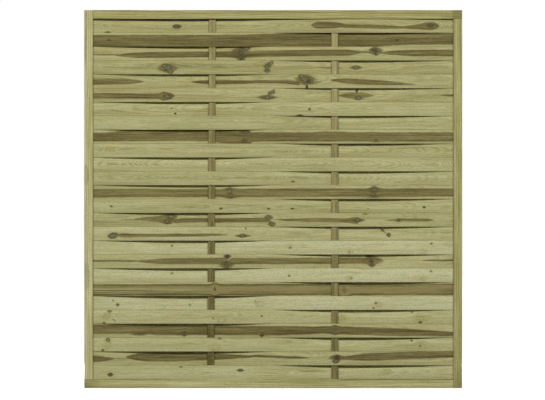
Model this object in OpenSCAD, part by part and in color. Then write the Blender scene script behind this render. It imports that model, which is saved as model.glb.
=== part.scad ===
// Slatted fence panel: thin horizontal slats woven past two battens, held in a grooved frame.
//
// Millimetres, Z up. Seen from the front, X runs along the fence from the left post to the
// right one and the front looks towards -Y. The origin lies on the left stile's outer face,
// at half the panel's height and half its depth.

/* [Panel] */

// overall width, from one stile's outer face to the other's
panel_w = 1800; // [1200:10:2400]
// overall height
panel_h = 1800; // [900:10:2100]

/* [Frame] */

// width of the stiles and rails as the front shows them
frame_w = 42; // [34:1:60]
// depth of the stiles and rails from front to back
frame_d = 42; // [38:1:60]
// rounding along the long edges of the frame
frame_r = 3; // [1:0.5:6]
// rounding at the open end of each stile and rail
end_r = 3; // [1:0.5:6]
// width of the groove along the frame's inner faces
groove_w = 9; // [8.5:0.5:12]
// depth of that groove
groove_d = 12; // [8:1:16]

/* [Battens] */

// width of a batten
batten_w = 32; // [24:1:50]
// thickness of a batten, which sets how far the slats bow
batten_t = 13; // [8:0.5:14]
// rounding along a batten's edges
batten_r = 3; // [1:0.5:4]
// distance of each batten from its stile, as a share of the opening's width
batten_share = 0.329; // [0.28:0.001:0.38]
// how much nearer the left stile the left batten stands at its foot than at its head
batten_lean = 8; // [-12:1:12]

/* [Slats] */

// thickness of a slat
slat_t = 7; // [5:0.5:7.5]
// open joint between one slat and the next
slat_gap = 0.3; // [0.2:0.1:4]
// play between a slat and the middle of the batten it passes
weave_gap = 0.4; // [0.3:0.1:1]

/* [Hidden] */

$fn = 32;

// play on each side of a stub tenon, and between any end and what it stops at
fit = 0.2;
// how far a slat or tenon stays off the groove's floor
end_play = 1;
// how far a cutting shape runs past the face it cuts
past = 1;

// number of slats, as listed in NODES
slat_rows = 26;
// number of straight steps that follow the bend between two supports
bend_steps = 14;

// opening inside the frame
opening_w = panel_w - 2 * frame_w;
opening_h = panel_h - 2 * frame_w;
slat_pitch = opening_h / slat_rows;

// stub tenons and slat ends reach this far into a groove
reach = groove_d - end_play;
tenon_t = groove_w - 2 * fit;

// battens: distance of each from the panel's middle, and the left one's angle off plumb
batten_x = [
    frame_w + batten_share * opening_w,
    panel_w - frame_w - batten_share * opening_w
];
lean_angle = atan(batten_lean / opening_h);

// a slat's middle surface stands this far off the panel's middle plane as it passes a batten
bow = (batten_t + slat_t) / 2 + weave_gap;
// the bent slat leans on the groove's lip, so that its tip lies this far off the middle plane
lip_rise = 2 * bow / (batten_share * opening_w) * groove_d;
tip_off = max(0, (groove_w - slat_t) / 2 - fit - lip_rise);

wood_frame = [0.66, 0.63, 0.43];
wood_batten = [0.55, 0.49, 0.33];
wood_slat = [0.65, 0.63, 0.44];

// height of a slat's middle, with row 1 at the top
function row_z(row) = opening_h / 2 - (row - 0.5) * slat_pitch;

// odd rows pass behind the left batten and in front of the right one, even rows the other way
function row_side(row) = row % 2 == 1 ? 1 : -1;

// the four supports of a slat: tip in the left stile, both battens, tip in the right stile
function support_x(row) = [
    frame_w - reach,
    batten_x[0] + batten_lean * row_z(row) / opening_h,
    batten_x[1],
    panel_w - frame_w + reach
];
function support_y(row) = row_side(row) * [tip_off, bow, -bow, -tip_off];

// curvature of a springy strip at its four supports, its two ends being free to turn
function curvature(x, y) =
    let (
        h = [x[1] - x[0], x[2] - x[1], x[3] - x[2]],
        slope = [(y[1] - y[0]) / h[0], (y[2] - y[1]) / h[1], (y[3] - y[2]) / h[2]],
        p = 6 * (slope[1] - slope[0]),
        q = 6 * (slope[2] - slope[1]),
        u = 2 * (h[0] + h[1]),
        v = 2 * (h[1] + h[2]),
        det = u * v - h[1] * h[1]
    )
    [0, (p * v - q * h[1]) / det, (q * u - p * h[1]) / det, 0];

// point on the strip at share s of the span that starts at support i
function bend_point(x, y, k, i, s) =
    let (
        h = x[i + 1] - x[i],
        c = 1 - s,
        chord = c * y[i] + s * y[i + 1],
        sag = h * h / 6 * ((c * c * c - c) * k[i] + (s * s * s - s) * k[i + 1])
    )
    [x[i] + s * h, chord + sag];

// the strip's middle line over all three spans
function bend_line(x, y) =
    let (k = curvature(x, y))
    [
        for (i = [0:2], j = [0:bend_steps - 1]) bend_point(x, y, k, i, j / bend_steps),
        bend_point(x, y, k, 2, 1)
    ];

// the same line given a thickness, as a closed outline
function ribbon(line, t) =
    let (last = len(line) - 1)
    concat(
        [for (p = line) p - [0, t / 2]],
        [for (i = [last:-1:0]) line[i] + [0, t / 2]]
    );

// rectangle with rounded corners, standing on the first axis and centred on the other
module eased_section(w, h, r) {
    translate([-w / 2, r]) square([w, h - 2 * r]);
    translate([r - w / 2, 0]) square([w - 2 * r, h]);
    for (p = [r - w / 2, w / 2 - r]) {
        for (q = [r, h - r]) translate([p, q]) circle(r);
    }
}

// runs a section along X, its first axis becoming Y and its second Z
module run_along_x(length) {
    rotate([90, 0, 90]) linear_extrude(length) children();
}

// frame section: the outer face is at zero, the groove opens in the inner face
module frame_section() {
    difference() {
        eased_section(frame_d, frame_w, frame_r);
        translate([-groove_w / 2, frame_w - groove_d]) square([groove_w, groove_d + past]);
    }
}

// side view of a frame member whose open end, at zero, has its corners rounded
module end_outline(length) {
    translate([end_r, 0]) square([length - end_r, frame_w]);
    translate([0, end_r]) square([2 * end_r, frame_w - 2 * end_r]);
    for (q = [end_r, frame_w - end_r]) translate([end_r, q]) circle(end_r);
}

// stile or rail from its open end to the shoulder that stops at the next member's inner
// face, with a stub tenon that fills the end of that member's groove
module frame_member(length) {
    intersection() {
        run_along_x(length) frame_section();
        translate([0, frame_d, 0]) rotate([90, 0, 0]) linear_extrude(2 * frame_d)
            end_outline(length);
    }
    translate([length - past, -tenon_t / 2, 0])
        cube([reach + past, tenon_t, frame_w - groove_d]);
}

// batten between the rails, standing along Z and centred, with a stub tenon at each end
module batten() {
    body = opening_h - 2 * fit;
    rotate([0, 0, 90]) translate([0, 0, -body / 2]) linear_extrude(body)
        translate([0, -batten_w / 2]) eased_section(batten_t, batten_w, batten_r);
    translate([batten_r - batten_w / 2, -tenon_t / 2, -opening_h / 2 - reach])
        cube([batten_w - 2 * batten_r, tenon_t, opening_h + 2 * reach]);
}

// one slat, bent past both battens
module slat(row) {
    height = slat_pitch - slat_gap;
    line = bend_line(support_x(row), support_y(row));
    translate([0, 0, row_z(row) - height / 2]) linear_extrude(height)
        polygon(ribbon(line, slat_t));
}

// The four members turn round the frame like a pinwheel: each starts open at a corner and
// stops at the inner face of the next.

module bottom_rail() {
    color(wood_frame) translate([0, 0, -panel_h / 2]) frame_member(panel_w - frame_w);
}

module right_stile() {
    color(wood_frame) translate([panel_w, 0, -panel_h / 2]) rotate([0, -90, 0])
        frame_member(panel_h - frame_w);
}

module top_rail() {
    color(wood_frame) translate([panel_w, 0, panel_h / 2]) rotate([0, 180, 0])
        frame_member(panel_w - frame_w);
}

module left_stile() {
    color(wood_frame) translate([0, 0, panel_h / 2]) rotate([0, 90, 0])
        frame_member(panel_h - frame_w);
}

module left_batten() {
    color(wood_batten) translate([batten_x[0], 0, 0]) rotate([0, lean_angle, 0]) batten();
}

module right_batten() {
    color(wood_batten) translate([batten_x[1], 0, 0]) batten();
}

module slat_01() { color(wood_slat) slat(1); }
module slat_02() { color(wood_slat) slat(2); }
module slat_03() { color(wood_slat) slat(3); }
module slat_04() { color(wood_slat) slat(4); }
module slat_05() { color(wood_slat) slat(5); }
module slat_06() { color(wood_slat) slat(6); }
module slat_07() { color(wood_slat) slat(7); }
module slat_08() { color(wood_slat) slat(8); }
module slat_09() { color(wood_slat) slat(9); }
module slat_10() { color(wood_slat) slat(10); }
module slat_11() { color(wood_slat) slat(11); }
module slat_12() { color(wood_slat) slat(12); }
module slat_13() { color(wood_slat) slat(13); }
module slat_14() { color(wood_slat) slat(14); }
module slat_15() { color(wood_slat) slat(15); }
module slat_16() { color(wood_slat) slat(16); }
module slat_17() { color(wood_slat) slat(17); }
module slat_18() { color(wood_slat) slat(18); }
module slat_19() { color(wood_slat) slat(19); }
module slat_20() { color(wood_slat) slat(20); }
module slat_21() { color(wood_slat) slat(21); }
module slat_22() { color(wood_slat) slat(22); }
module slat_23() { color(wood_slat) slat(23); }
module slat_24() { color(wood_slat) slat(24); }
module slat_25() { color(wood_slat) slat(25); }
module slat_26() { color(wood_slat) slat(26); }

left_stile();
right_stile();
top_rail();
bottom_rail();
left_batten();
right_batten();
slat_01();
slat_02();
slat_03();
slat_04();
slat_05();
slat_06();
slat_07();
slat_08();
slat_09();
slat_10();
slat_11();
slat_12();
slat_13();
slat_14();
slat_15();
slat_16();
slat_17();
slat_18();
slat_19();
slat_20();
slat_21();
slat_22();
slat_23();
slat_24();
slat_25();
slat_26();
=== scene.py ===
"""The looks of the slatted fence panel: woven slats, brads, timber, camera and light.

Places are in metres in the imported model's frame: X runs along the fence, -Y is the front and Z
is up. The figure of each piece of timber is given in millimetres, along the grain from the
panel's left edge and across it from the piece's own middle line.
"""

from __future__ import annotations

import logging
import math
from dataclasses import dataclass, replace
from enum import Enum
from typing import Any, Dict, List, Optional, Sequence, Tuple, Union

import bpy
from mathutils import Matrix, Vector


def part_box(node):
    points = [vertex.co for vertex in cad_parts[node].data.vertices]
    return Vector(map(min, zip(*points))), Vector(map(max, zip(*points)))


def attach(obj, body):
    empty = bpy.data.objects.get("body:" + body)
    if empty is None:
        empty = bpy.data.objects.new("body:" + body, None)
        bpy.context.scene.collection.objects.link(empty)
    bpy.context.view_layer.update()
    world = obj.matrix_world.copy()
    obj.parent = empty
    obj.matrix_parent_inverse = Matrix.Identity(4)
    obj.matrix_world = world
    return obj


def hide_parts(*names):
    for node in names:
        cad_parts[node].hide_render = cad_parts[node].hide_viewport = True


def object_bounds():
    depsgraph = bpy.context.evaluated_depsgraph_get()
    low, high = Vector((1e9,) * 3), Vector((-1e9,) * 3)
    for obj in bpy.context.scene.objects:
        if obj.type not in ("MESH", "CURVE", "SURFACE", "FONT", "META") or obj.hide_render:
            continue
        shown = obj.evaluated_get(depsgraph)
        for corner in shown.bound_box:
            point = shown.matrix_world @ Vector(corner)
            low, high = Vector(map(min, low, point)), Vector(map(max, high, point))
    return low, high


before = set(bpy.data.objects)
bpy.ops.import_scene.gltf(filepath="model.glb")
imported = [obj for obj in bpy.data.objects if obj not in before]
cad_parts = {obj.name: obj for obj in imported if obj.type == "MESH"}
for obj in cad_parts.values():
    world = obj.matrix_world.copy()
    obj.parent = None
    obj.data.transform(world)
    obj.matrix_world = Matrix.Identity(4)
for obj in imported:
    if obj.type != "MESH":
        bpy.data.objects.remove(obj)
CAD_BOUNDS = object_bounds()

LOG = logging.getLogger("fence_panel")
ROOT = "root"
MM = 0.001
Colour = Tuple[float, float, float]
Value = Union["Term", bpy.types.NodeSocket, float, int]


def srgb(red: int, green: int, blue: int) -> Colour:
    """Turn a colour as a screen shows it into the linear values that a shader takes.

    Args:
        red: Red from 0 to 255.
        green: Green from 0 to 255.
        blue: Blue from 0 to 255.

    Returns:
        The three linear values, from 0 to 1.
    """
    def linear(level: int) -> float:
        """Undo the screen's curve for one channel."""
        share = level / 255
        return share / 12.92 if share <= 0.04045 else ((share + 0.055) / 1.055) ** 2.4

    return linear(red), linear(green), linear(blue)


class Term:
    """A number that a node tree works out, to be used in a formula like any other."""

    def __init__(self, wiring: "Wiring", socket: bpy.types.NodeSocket) -> None:
        """Keep the socket that gives the number and the tree that it belongs to."""
        self.wiring = wiring
        self.socket = socket

    def __add__(self, other: Value) -> "Term":
        """Add a number or another term."""
        return self.wiring.math("ADD", self, other)

    def __radd__(self, other: Value) -> "Term":
        """Add this term to a plain number."""
        return self.wiring.math("ADD", other, self)

    def __sub__(self, other: Value) -> "Term":
        """Take a number or another term away."""
        return self.wiring.math("SUBTRACT", self, other)

    def __rsub__(self, other: Value) -> "Term":
        """Take this term from a plain number."""
        return self.wiring.math("SUBTRACT", other, self)

    def __mul__(self, other: Value) -> "Term":
        """Multiply by a number or another term."""
        return self.wiring.math("MULTIPLY", self, other)

    def __rmul__(self, other: Value) -> "Term":
        """Multiply a plain number by this term."""
        return self.wiring.math("MULTIPLY", other, self)

    def __truediv__(self, other: Value) -> "Term":
        """Divide by a number or another term."""
        return self.wiring.math("DIVIDE", self, other)

    def __rtruediv__(self, other: Value) -> "Term":
        """Divide a plain number by this term."""
        return self.wiring.math("DIVIDE", other, self)

    def __pow__(self, other: Value) -> "Term":
        """Raise to a power."""
        return self.wiring.math("POWER", self, other)

    def __neg__(self) -> "Term":
        """Turn the sign round."""
        return self.wiring.math("MULTIPLY", self, -1.0)

    def __abs__(self) -> "Term":
        """Drop the sign."""
        return self.wiring.math("ABSOLUTE", self)

    def root(self) -> "Term":
        """Take the square root."""
        return self.wiring.math("SQRT", self)

    def most(self, other: Value) -> "Term":
        """Take the larger of this and another value."""
        return self.wiring.math("MAXIMUM", self, other)

    def least(self, other: Value) -> "Term":
        """Take the smaller of this and another value."""
        return self.wiring.math("MINIMUM", self, other)

    def held(self) -> "Term":
        """Hold the value between 0 and 1."""
        return self.most(0.0).least(1.0)

    def below(self, other: Value) -> "Term":
        """Give 1 where this is less than another value, and 0 elsewhere."""
        return self.wiring.math("LESS_THAN", self, other)


class Wiring:
    """Adds nodes to one tree and joins them."""

    def __init__(self, tree: bpy.types.NodeTree) -> None:
        """Start work on a tree."""
        self.tree = tree

    def node(self, kind: str, **settings: Any) -> bpy.types.Node:
        """Add a node.

        Args:
            kind: Blender's name for the sort of node.
            **settings: Properties to set on it.

        Returns:
            The new node.
        """
        node = self.tree.nodes.new(kind)
        for name, setting in settings.items():
            setattr(node, name, setting)
        return node

    def feed(self, socket: bpy.types.NodeSocket, value: Any) -> None:
        """Join a value to a socket, or write it there if it is a constant.

        Args:
            socket: The socket that takes the value.
            value: A term, another node's socket or a constant.
        """
        if isinstance(value, Term):
            value = value.socket
        if isinstance(value, bpy.types.NodeSocket):
            self.tree.links.new(value, socket)
        else:
            socket.default_value = value

    def math(self, operation: str, *values: Value) -> Term:
        """Work out one step of a formula.

        Args:
            operation: Blender's name for the step.
            *values: The numbers that it takes, in order.

        Returns:
            The result.
        """
        node = self.node("ShaderNodeMath", operation=operation)
        for socket, value in zip(node.inputs, values):
            self.feed(socket, value)
        return Term(self, node.outputs[0])

    def ramp(self, value: Value, low: float, high: float) -> Term:
        """Rise smoothly from 0 to 1 while a value goes from low to high.

        Args:
            value: What drives the rise.
            low: Where the rise starts.
            high: Where it ends.

        Returns:
            The share from 0 to 1.
        """
        node = self.node("ShaderNodeMapRange", interpolation_type="SMOOTHSTEP")
        self.feed(node.inputs["Value"], value)
        self.feed(node.inputs["From Min"], low)
        self.feed(node.inputs["From Max"], high)
        return Term(self, node.outputs["Result"])

    def vector(self, x: Value, y: Value, z: Value) -> bpy.types.NodeSocket:
        """Join three numbers into a vector.

        Args:
            x: First part.
            y: Second part.
            z: Third part.

        Returns:
            The vector's socket.
        """
        node = self.node("ShaderNodeCombineXYZ")
        for socket, value in zip(node.inputs, (x, y, z)):
            self.feed(socket, value)
        return node.outputs[0]

    def parts(self, vector: bpy.types.NodeSocket) -> Tuple[Term, Term, Term]:
        """Split a vector into its three numbers.

        Args:
            vector: The vector's socket.

        Returns:
            The three parts.
        """
        node = self.node("ShaderNodeSeparateXYZ")
        self.feed(node.inputs[0], vector)
        return Term(self, node.outputs[0]), Term(self, node.outputs[1]), Term(self, node.outputs[2])

    def noise(self, x: Value, y: Value, z: Value, detail: float = 2.0) -> Term:
        """Give smooth noise that is 0 on average and mostly stays within a half either way.

        Args:
            x: First coordinate, in grains of the noise.
            y: Second coordinate.
            z: Third coordinate.
            detail: How many finer layers are added.

        Returns:
            The noise.
        """
        node = self.node("ShaderNodeTexNoise", noise_dimensions="3D")
        self.feed(node.inputs["Vector"], self.vector(x, y, z))
        node.inputs["Scale"].default_value = 1.0
        node.inputs["Detail"].default_value = detail
        return (Term(self, node.outputs[0]) - 0.5) * 2.0

    def blend(self, share: Value, first: Any, second: Any) -> bpy.types.NodeSocket:
        """Mix two colours.

        Args:
            share: How much of the second colour there is, from 0 to 1.
            first: A colour or its socket.
            second: A colour or its socket.

        Returns:
            The mixed colour's socket.
        """
        node = self.node("ShaderNodeMix", data_type="RGBA", clamp_factor=True)
        self.feed(node.inputs[0], share)
        for socket, colour in ((node.inputs[6], first), (node.inputs[7], second)):
            self.feed(socket, colour if isinstance(colour, bpy.types.NodeSocket) else (*colour, 1.0))
        return node.outputs[2]

    def use(self, group: "FormulaGroup", **values: Value) -> Dict[str, Term]:
        """Place a formula group and feed it.

        Args:
            group: The group to place.
            **values: What its inputs take, by name with _ for each space.

        Returns:
            The group's results by name.
        """
        node = self.node("ShaderNodeGroup", node_tree=group.tree)
        for name, value in values.items():
            self.feed(node.inputs[name.replace("_", " ")], value)
        return {socket.name: Term(self, socket) for socket in node.outputs}


class FormulaGroup:
    """A shader node group that takes named numbers and gives named numbers."""

    title = ""
    takes: Tuple[str, ...] = ()
    gives: Tuple[str, ...] = ()

    def __init__(self) -> None:
        """Make the group's tree with its sockets, then let the subclass fill it."""
        self.tree = bpy.data.node_groups.new(self.title, "ShaderNodeTree")
        for name in self.takes:
            self.tree.interface.new_socket(name=name, in_out="INPUT", socket_type="NodeSocketFloat")
        for name in self.gives:
            self.tree.interface.new_socket(name=name, in_out="OUTPUT", socket_type="NodeSocketFloat")
        wiring = Wiring(self.tree)
        entry = wiring.node("NodeGroupInput")
        exit_node = wiring.node("NodeGroupOutput")
        results = self.formula(wiring, *(Term(wiring, entry.outputs[name]) for name in self.takes))
        for name, result in zip(self.gives, results):
            wiring.feed(exit_node.inputs[name], result)

    def formula(self, wiring: Wiring, *given: Term) -> Sequence[Term]:
        """Work out the results from what is given, in the order of the sockets."""
        raise NotImplementedError


class GrowthRings(FormulaGroup):
    """Growth rings of a tree trunk, cut by the board's faces.

    The pith wanders beside the board and below it, so that the rings come out as straight grain
    far from it and as nested arches where it rises or falls.
    """

    title = "Growth rings"
    takes = ("Along", "Depth", "Across", "Pith Depth", "Pith Across", "Taper", "Swing", "Spacing",
             "Seed")
    gives = ("Late",)

    def formula(self, wiring: Wiring, *given: Term) -> Sequence[Term]:
        """Give the share of dark late wood."""
        along, depth, across, pith_depth, pith_across, taper, swing, spacing, seed = given
        aside = across - pith_across - wiring.noise(along / 700, seed, 3.1, 1.0) * 14
        slope = (along - 900) / 1000 * taper
        down = depth + pith_depth + slope + wiring.noise(along / 210, seed, 8.7, 1.0) * swing
        ragged = wiring.noise(along / 60, across / 12, seed, 2.0) * 2.2
        radius = (aside * aside + down * down).root() + ragged
        uneven = wiring.noise(radius / 20, seed, 1.9, 1.0) * 1.1
        phase = wiring.math("FRACT", radius / spacing + uneven)
        late = wiring.ramp(phase, 0.3, 0.8) * (1.0 - wiring.ramp(phase, 0.86, 1.0))
        strong = wiring.noise(along / 180, across / 22, seed + 4, 1.0) + 0.85
        return (late * strong.held(),)


class DarkStreak(FormulaGroup):
    """Stretch of heartwood in a board's face, which starts and ends in a tip."""

    title = "Dark streak"
    takes = ("Along", "Across", "Start", "End", "Height at Start", "Height at End", "Half Height",
             "Lead", "Tail", "Edge")
    gives = ("Mask", "Inside")

    def formula(self, wiring: Wiring, *given: Term) -> Sequence[Term]:
        """Give the streak's mask and how deep a point lies inside its edge, in mm."""
        along, across, start, end, rise_start, rise_end, half, lead, tail, edge = given
        share = ((along - start) / (end - start)).held()
        middle = rise_start + (rise_end - rise_start) * share
        opening = ((along - start) / lead).held()
        closing = ((end - along) / tail).held()
        tip = opening * (2.0 - opening) * closing * (2.0 - closing)
        inside = half * tip - abs(across - middle)
        mask = wiring.ramp(inside, -edge, edge)
        faint = wiring.ramp(tip, 0.0, 0.25)
        return mask * faint, inside


class KnotFigure(FormulaGroup):
    """A knot: its core, its body and dark rim, the haze and the fine lines of grain round it, the
    flame of dark wood that runs out of it along the grain, and how far it pushes the grain aside."""

    title = "Knot"
    takes = ("Along", "Across", "Centre Along", "Centre Across", "Half Length", "Half Width",
             "Tilt", "Reach", "Spread", "Seed")
    gives = ("Core", "Body", "Rim", "Haze", "Lines", "Flame", "Push")

    def formula(self, wiring: Wiring, *given: Term) -> Sequence[Term]:
        """Give the masks of core, body, rim, haze, lines and flame, and the sideways push in mm."""
        (along, across, centre_along, centre_across, half_length, half_width, tilt, reach, spread,
         seed) = given
        du = along - centre_along
        dv = across - centre_across
        cosine = wiring.math("COSINE", tilt)
        sine = wiring.math("SINE", tilt)
        p = (du * cosine + dv * sine) / half_length
        q = (dv * cosine - du * sine) / half_width
        uneven = wiring.noise(along / 8, across / 6, seed, 2.0) * 0.5
        radius = (p * p + q * q).root() + uneven
        blot = wiring.noise(along / 7, across / 5, seed + 5, 1.0)
        core = 1.0 - wiring.ramp(radius + blot * 0.9, 0.3, 0.65)
        body = 1.0 - wiring.ramp(radius, 0.7, 1.15)
        patchy = (wiring.noise(along / 9, across / 9, seed + 3, 1.0) * 1.8 + 0.5).held()
        rim = wiring.ramp(radius, 0.5, 0.88) * (1.0 - wiring.ramp(radius, 0.94, 1.2)) * patchy
        haze = 1.0 - wiring.ramp(radius, 0.8, 2.3)
        lines = wiring.ramp(wiring.math("COSINE", radius * 6.5), 0.5, 1.0) * patchy \
            * (1.0 - wiring.ramp(radius, 1.3, 2.3)) * wiring.ramp(radius, 0.4, 0.8)
        flame_radius = abs(du) / reach + (dv / spread) ** 2.0 + uneven * 0.5
        flame = 1.0 - wiring.ramp(flame_radius, 0.55, 1.1)
        away = (du / (half_length * 2.6)) ** 2.0 + (dv / (half_width * 1.8 + 4.0)) ** 2.0
        push = dv * wiring.math("EXPONENT", -away) * -0.8
        return core, body, rim, haze, lines, flame, push


class Run(Enum):
    """How a piece of timber's grain runs, and so where its material finds the board's own axes."""

    WOVEN = "the slat's own straight coordinates, kept from before it was bent"
    ALONG_X = "a rail, along X"
    ALONG_Z = "a stile or batten, along Z"


class Wood(Enum):
    """Which wood a streak shows."""

    HEART = "dark heartwood"
    SAP = "pale sapwood inside the dark"


class KnotKind(Enum):
    """How a knot comes out in the board's face."""

    SOUND = "a whole knot with its core, body and flame"
    PIN = "a small soft knot in pale wood"
    BURIED = "a knot just under the face, which only turns the grain round it"


@dataclass(frozen=True)
class Streak:
    """One stretch of heartwood, or of sapwood that interrupts it; on the frame, a few are painted shade along the
    edges that meet the slats.

    Attributes:
        start: Where it begins along the board, in mm.
        end: Where it ends.
        middle: Height of its middle at the start, in mm above the board's middle line.
        half: Half its height where it is fullest.
        lead: Length of the tip at its start.
        tail: Length of the tip at its end.
        far: Height of its middle at the end, or None where it runs level.
        strength: How dark it is, from 0 to 1.
        wood: Heartwood or sapwood.
    """

    start: float
    end: float
    middle: float
    half: float
    lead: float = 1.0
    tail: float = 1.0
    far: Optional[float] = None
    strength: float = 1.0
    wood: Wood = Wood.HEART


@dataclass(frozen=True)
class Knot:
    """One knot.

    Attributes:
        along: Where it sits along the board, in mm.
        across: Its height above the board's middle line, in mm.
        length: Half its length along its own axis.
        width: Half its width.
        tilt: Turn of its axis in degrees, rising to the right where positive.
        reach: How far dark wood runs from its centre along the grain, in mm.
        spread: How far it runs across the grain, or None for just past the knot.
        grey: Share of grey-green in its core, the rest being nearly black.
        strength: How strongly it shows, from 0 to 1.
        kind: How it comes out in the face.
    """

    along: float
    across: float
    length: float
    width: float
    tilt: float = 0.0
    reach: float = 24.0
    spread: Optional[float] = None
    grey: float = 0.6
    strength: float = 1.0
    kind: KnotKind = KnotKind.SOUND


@dataclass(frozen=True)
class Figure:
    """How the growth rings of one board come out in its face.

    Attributes:
        pith_across: Height of the pith above the board's middle line, in mm.
        pith_depth: Depth of the pith behind the board, in mm.
        taper: How much deeper the pith lies for each metre along the board.
        swing: How far the pith's depth wavers.
        spacing: Width of one ring.
        contrast: How dark the late wood is, from 0 to 1.
    """

    pith_across: float = 12.0
    pith_depth: float = 44.0
    taper: float = 30.0
    swing: float = 13.0
    spacing: float = 4.8
    contrast: float = 0.2


@dataclass(frozen=True)
class Palette:
    """Colours of one sort of timber, each set from dark to pale."""

    sapwood: Tuple[Colour, Colour, Colour]
    heartwood: Tuple[Colour, Colour, Colour] = (
        srgb(72, 64, 28), srgb(105, 96, 53), srgb(134, 124, 78))
    knot_grey: Colour = srgb(118, 124, 92)
    knot_body: Colour = srgb(90, 83, 44)
    knot_dark: Colour = srgb(56, 47, 20)
    knot_rim: Colour = srgb(50, 43, 16)
    haze: Colour = srgb(152, 144, 80)
    # Grime along the boards' edges, with painted shade where parts meet; the sapwood's specks use it too.
    dirt_and_edge_shade: Colour = srgb(78, 70, 34)
    # Colour of the painted shade under a neighbouring slat's edge.
    crevice_shade: Colour = srgb(40, 34, 10)
    salt: Colour = srgb(122, 168, 132)
    mottle: Colour = srgb(134, 136, 78)


@dataclass(frozen=True)
class Board:
    """Looks of one piece of timber.

    Attributes:
        name: Name of its material.
        palette: Its colours.
        figure: Its growth rings.
        streaks: Its heartwood.
        knots: Its knots.
        run: How its grain runs.
        middle: Place of its middle line across the grain, in metres, where it isn't woven.
        lean: How far the middle line moves sideways for each metre of height.
        tone: Lighter above 0 and darker below it.
        fade: How much lighter it gets for each metre along the grain.
        heart_tone: Lighter above 0 and darker below it, in the heartwood.
        edging: How far the heartwood's middle is paler than its edge, from 0 to 1.
        half: Half the board's height in mm, out to its darkened edges.
        half_depth: Half its thickness in mm.
        soiled_shaded_width: Width of the strip along each edge darkened by grime and painted shade, in mm.
        salts: How many specks of green salt it has, from 0 to 1.
        seed: Number that sets its own pattern.
    """

    name: str
    palette: Palette
    figure: Figure = Figure()
    streaks: Tuple[Streak, ...] = ()
    knots: Tuple[Knot, ...] = ()
    run: Run = Run.WOVEN
    middle: float = 0.0
    lean: float = 0.0
    tone: float = 0.0
    fade: float = 0.0
    heart_tone: float = 0.0
    edging: float = 0.2
    half: float = 32.9
    half_depth: float = 3.4
    soiled_shaded_width: float = 2.2
    salts: float = 0.3
    seed: int = 1


@dataclass(frozen=True)
class Grain:
    """Patterns that a board's colours share: late wood, fibres, flecks, veins, clouds, threads."""

    late: Term
    fibre: Term
    fleck: Term
    vein: Term
    cloud: Term
    thread: Term


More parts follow.
